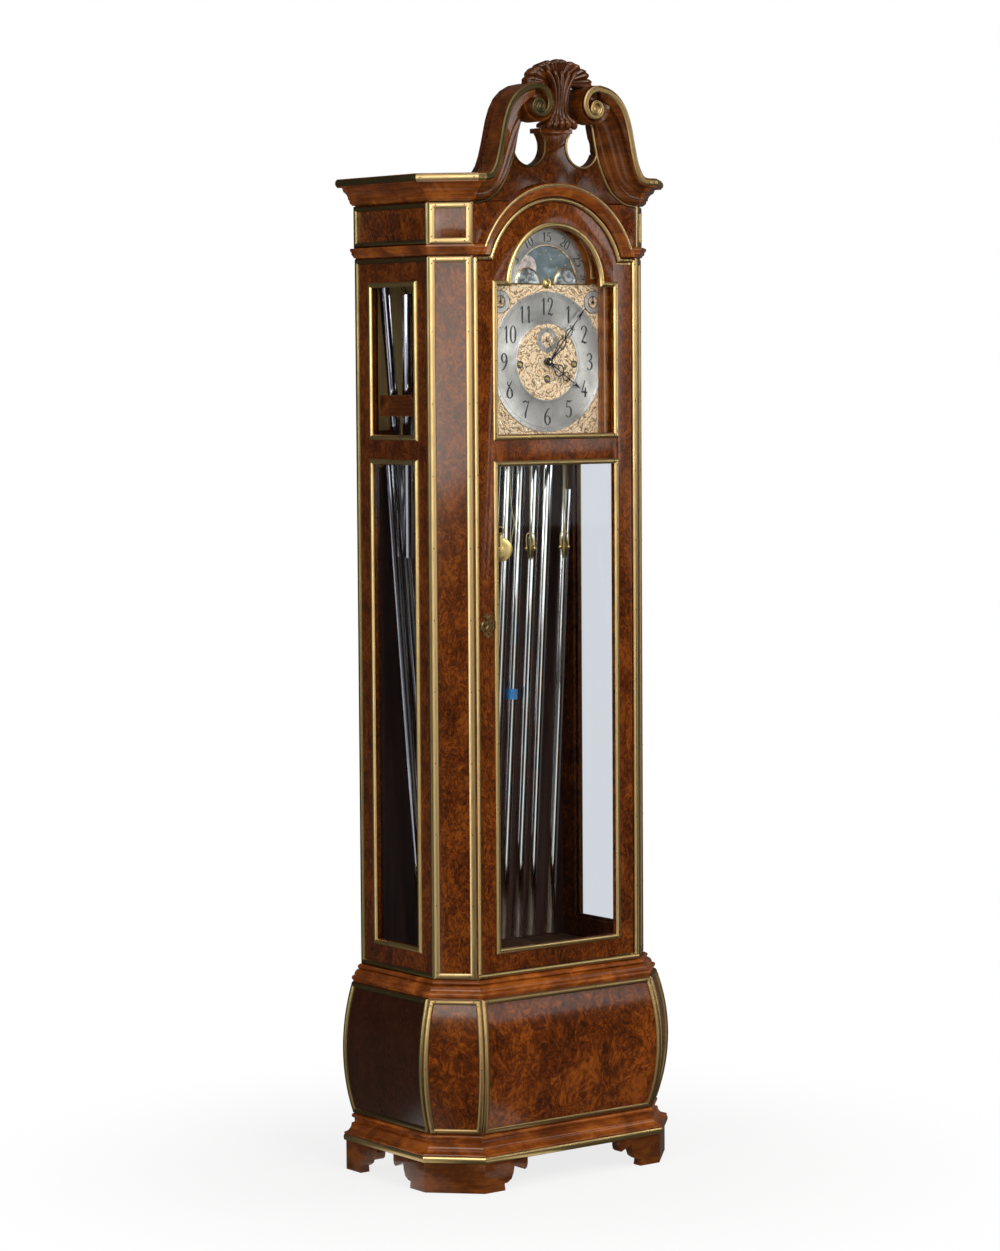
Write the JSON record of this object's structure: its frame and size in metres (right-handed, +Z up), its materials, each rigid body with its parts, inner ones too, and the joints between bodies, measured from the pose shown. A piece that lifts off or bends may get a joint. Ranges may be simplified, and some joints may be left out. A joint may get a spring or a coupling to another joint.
{
  "type": "longcase clock",
  "caption": "Tall canted-corner longcase clock with bombe base, full-length glazed door, moon-arch dial, three trains, pulleys, chime tubes and a swan-neck pediment.",
  "frame": {"origin": "on the floor, under the middle of the overall box", "axes": "+Z up, -Y out of the clock's face, +X to the right of someone facing the clock"},
  "size_m": [0.67, 0.386, 2.3831],
  "materials": {
    "burl_walnut": "french polished burl veneer",
    "carved_walnut": "french polished",
    "plain_wood": "plain planed",
    "case_brass": "polished",
    "plain_brass": "satin",
    "gilt_brass": "gilt and engraved",
    "silvered": "silvered and brushed",
    "painted_sky": "painted",
    "blued_steel": "blued steel",
    "steel": "ground",
    "chromed_tube": "polished",
    "clear_glass": "clear bevelled glass",
    "cable": "twisted line"
  },
  "bodies": {
    "case": {"feet": "carved_walnut", "plinth_moulding": "carved_walnut", "base_shell": "burl_walnut", "base_trim": "case_brass", "waist_moulding": "carved_walnut", "case_floors": "plain_wood", "side_panel_left": "burl_walnut", "side_panel_right": "burl_walnut", "corner_posts": "burl_walnut", "back_panel": "plain_wood", "case_trim": "case_brass", "side_panes": "clear_glass", "mid_moulding": "carved_walnut", "frieze": "burl_walnut", "cornice_moulding": "carved_walnut", "pediment_board": "burl_walnut", "swan_necks": "carved_walnut", "pediment_cap": "carved_walnut", "shell_carving": "carved_walnut", "roof_board": "plain_wood", "case_pivots": "plain_brass", "dial_mask": "carved_walnut", "dial_plate": "gilt_brass", "silvered_rings": "silvered", "movement_frame": "plain_brass", "seatboard": "plain_wood", "cable_left": "cable", "cable_centre": "cable", "cable_right": "cable", "chime_tubes": "chromed_tube", "tube_rack": "carved_walnut"},
    "door": {"door_frame": "burl_walnut", "door_trim": "case_brass", "door_panes": "clear_glass", "door_lock": "plain_brass", "escutcheon": "case_brass", "door_pivot_plates": "plain_brass"},
    "bolt": {"lock_bolt": "plain_brass"},
    "centre_arbor_body": {"centre_arbor": "plain_brass", "minute_hand": "blued_steel"},
    "hour_body": {"hour_wheel": "plain_brass", "hour_hand": "blued_steel"},
    "minute_wheel_body": {"minute_wheel": "plain_brass"},
    "third_body": {"third_wheel": "plain_brass"},
    "escape_body": {"escape_wheel": "plain_brass", "seconds_hand": "blued_steel"},
    "great_wheel_body": {"great_wheel": "plain_brass"},
    "moon_body": {"moon_disc": "painted_sky"},
    "anchor_body": {"anchor": "steel"},
    "selector_left_body": {"selector_left": "blued_steel"},
    "selector_right_body": {"selector_right": "blued_steel"},
    "barrel_left_body": {"barrel_left": "plain_brass"},
    "pulley_left_body": {"pulley_left": "plain_brass"},
    "sheave_left_body": {"sheave_left": "plain_brass"},
    "barrel_centre_body": {"barrel_centre": "plain_brass"},
    "pulley_centre_body": {"pulley_centre": "plain_brass"},
    "sheave_centre_body": {"sheave_centre": "plain_brass"},
    "barrel_right_body": {"barrel_right": "plain_brass"},
    "pulley_right_body": {"pulley_right": "plain_brass"},
    "sheave_right_body": {"sheave_right": "plain_brass"}
  },
  "joints": [
    {"name": "door_hinge", "type": "hinge", "parent": "case", "child": "door", "pos_m": [0.2035, -0.1365, 1.205], "axis": [0, 0, 1], "range_deg": [0, 95]},
    {"name": "lock_bolt_slide", "type": "slide", "parent": "door", "child": "bolt", "axis": [-1, 0, 0], "range_m": [0, 0.006]},
    {"name": "minute_arbor", "type": "hinge", "parent": "case", "child": "centre_arbor_body", "pos_m": [0, -0.083, 1.7434], "axis": [0, 1, 0], "continuous": true},
    {"name": "hour_pipe", "type": "hinge", "parent": "case", "child": "hour_body", "pos_m": [0, -0.103, 1.7434], "axis": [0, 1, 0], "continuous": true},
    {"name": "minute_wheel_stud", "type": "hinge", "parent": "case", "child": "minute_wheel_body", "pos_m": [0.02, -0.093, 1.7434], "axis": [0, 1, 0], "continuous": true},
    {"name": "third_arbor", "type": "hinge", "parent": "case", "child": "third_body", "pos_m": [0.0123, -0.053, 1.76744], "axis": [0, 1, 0], "continuous": true},
    {"name": "escape_arbor", "type": "hinge", "parent": "case", "child": "escape_body", "pos_m": [0, -0.053, 1.7899], "axis": [0, 1, 0], "continuous": true},
    {"name": "great_wheel_arbor", "type": "hinge", "parent": "case", "child": "great_wheel_body", "pos_m": [0, -0.0235, 1.7074], "axis": [0, 1, 0], "continuous": true},
    {"name": "moon_pivot", "type": "hinge", "parent": "case", "child": "moon_body", "pos_m": [0, -0.105, 1.909], "axis": [0, 1, 0], "continuous": true},
    {"name": "anchor_arbor", "type": "hinge", "parent": "case", "child": "anchor_body", "pos_m": [0, -0.048, 1.8189], "axis": [0, 1, 0], "range_deg": [-3, 3]},
    {"name": "selector_left_pin", "type": "hinge", "parent": "case", "child": "selector_left_body", "pos_m": [-0.1244, -0.11, 1.87], "axis": [0, 1, 0], "range_deg": [-60, 60]},
    {"name": "selector_right_pin", "type": "hinge", "parent": "case", "child": "selector_right_body", "pos_m": [0.1244, -0.11, 1.87], "axis": [0, 1, 0], "range_deg": [-60, 60]},
    {"name": "winding_left", "type": "hinge", "parent": "case", "child": "barrel_left_body", "pos_m": [-0.0727, -0.048, 1.738], "axis": [0, 1, 0], "range_deg": [-3646, 781]},
    {"name": "pulley_run_left", "type": "slide", "parent": "case", "child": "pulley_left_body", "axis": [0, 0, 1], "range_m": [-0.7, 0.15], "deforming": ["cable_left"]},
    {"name": "sheave_spin_left", "type": "hinge", "parent": "pulley_left_body", "child": "sheave_left_body", "pos_m": [-0.081, -0.048, 1.345], "axis": [0.6018, 0.7986, 0], "range_deg": [-1836, 397]},
    {"name": "winding_centre", "type": "hinge", "parent": "case", "child": "barrel_centre_body", "pos_m": [0, -0.048, 1.7074], "axis": [0, 1, 0], "range_deg": [-3646, 781]},
    {"name": "pulley_run_centre", "type": "slide", "parent": "case", "child": "pulley_centre_body", "axis": [0, 0, 1], "range_m": [-0.7, 0.15], "deforming": ["cable_centre"]},
    {"name": "sheave_spin_centre", "type": "hinge", "parent": "pulley_centre_body", "child": "sheave_centre_body", "pos_m": [0, -0.048, 1.345], "axis": [-0.788, 0.6157, 0], "range_deg": [-1836, 397]},
    {"name": "winding_right", "type": "hinge", "parent": "case", "child": "barrel_right_body", "pos_m": [0.0727, -0.048, 1.738], "axis": [0, 1, 0], "range_deg": [-3646, 781]},
    {"name": "pulley_run_right", "type": "slide", "parent": "case", "child": "pulley_right_body", "axis": [0, 0, 1], "range_m": [-0.7, 0.15], "deforming": ["cable_right"]},
    {"name": "sheave_spin_right", "type": "hinge", "parent": "pulley_right_body", "child": "sheave_right_body", "pos_m": [0.093, -0.048, 1.345], "axis": [-0.7431, 0.6691, 0], "range_deg": [-1836, 397]}
  ],
  "couplings": [
    {"joint": "minute_wheel_stud", "follows": "minute_arbor", "ratio": -0.33333},
    {"joint": "hour_pipe", "follows": "minute_arbor", "ratio": 0.083333},
    {"joint": "third_arbor", "follows": "minute_arbor", "ratio": -8},
    {"joint": "escape_arbor", "follows": "minute_arbor", "ratio": 60},
    {"joint": "great_wheel_arbor", "follows": "minute_arbor", "ratio": -0.090909},
    {"joint": "moon_pivot", "follows": "minute_arbor", "ratio": 0.00070621},
    {"joint": "pulley_run_left", "follows": "winding_left", "m_per_rad": 0.011},
    {"joint": "sheave_spin_left", "follows": "winding_left", "ratio": 0.50228},
    {"joint": "pulley_run_centre", "follows": "winding_centre", "m_per_rad": 0.011},
    {"joint": "sheave_spin_centre", "follows": "winding_centre", "ratio": 0.50228},
    {"joint": "pulley_run_right", "follows": "winding_right", "m_per_rad": 0.011},
    {"joint": "sheave_spin_right", "follows": "winding_right", "ratio": 0.50228}
  ]
}
